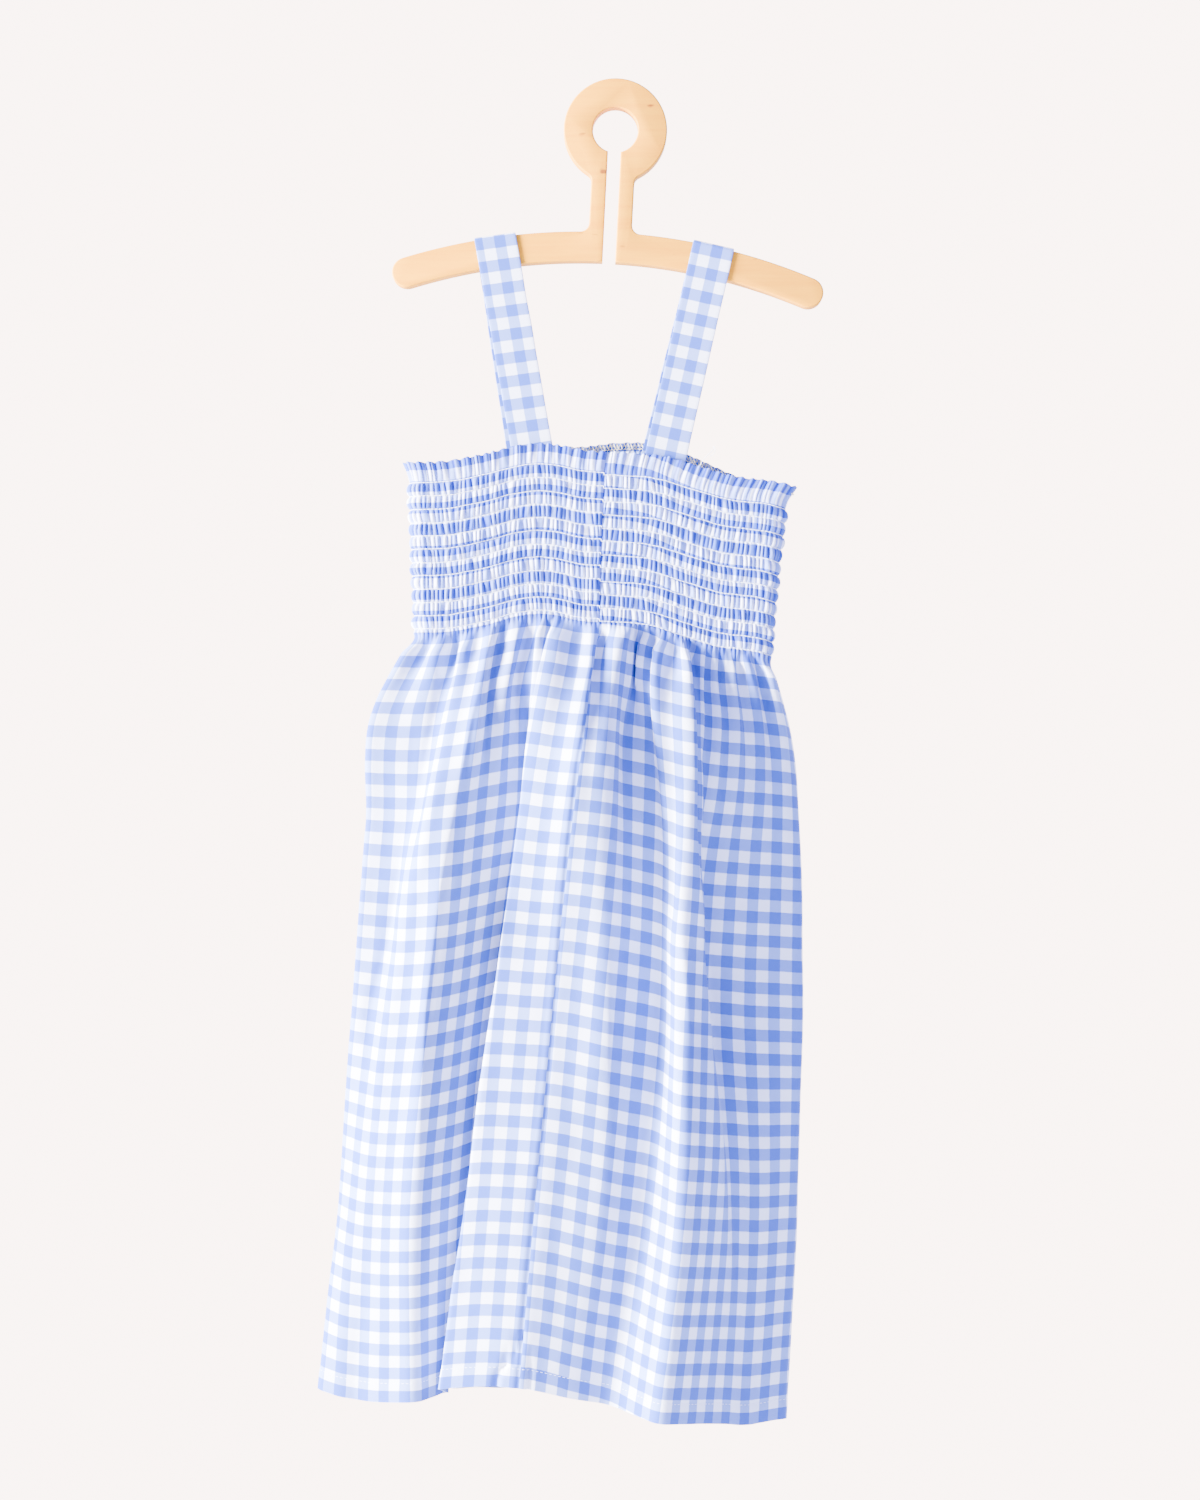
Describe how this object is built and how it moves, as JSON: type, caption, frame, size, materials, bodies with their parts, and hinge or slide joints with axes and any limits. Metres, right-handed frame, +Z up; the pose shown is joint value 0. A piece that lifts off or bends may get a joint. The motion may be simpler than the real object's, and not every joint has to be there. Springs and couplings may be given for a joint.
{
  "type": "child's shirred gingham sundress on a wooden hanger",
  "caption": "Child's gingham sundress with a shirred bodice, flat shoulder straps and a gathered skirt, hung on a flat wooden hanger with a ring and slot.",
  "frame": {"origin": "top of the hanger's hole, at mid-thickness, where a nail in the wall carries it", "axes": "+Z up, +X to the right as one looks at the front of the dress, +Y into the wall behind it"},
  "size_m": [0.3462, 0.0804, 0.9205],
  "materials": {
    "wood": "clear satin varnish on pale maple",
    "strap_cloth": "light blue and white gingham cotton, folded flat",
    "shirred_cloth": "light blue and white gingham cotton, drawn in by elastic thread",
    "skirt_cloth": "light blue and white gingham cotton, single layer"
  },
  "bodies": {
    "root": {"hanger": "wood", "strap_left": "strap_cloth", "strap_right": "strap_cloth", "bodice": "shirred_cloth", "skirt_front": "skirt_cloth", "skirt_back": "skirt_cloth"}
  },
  "joints": []
}
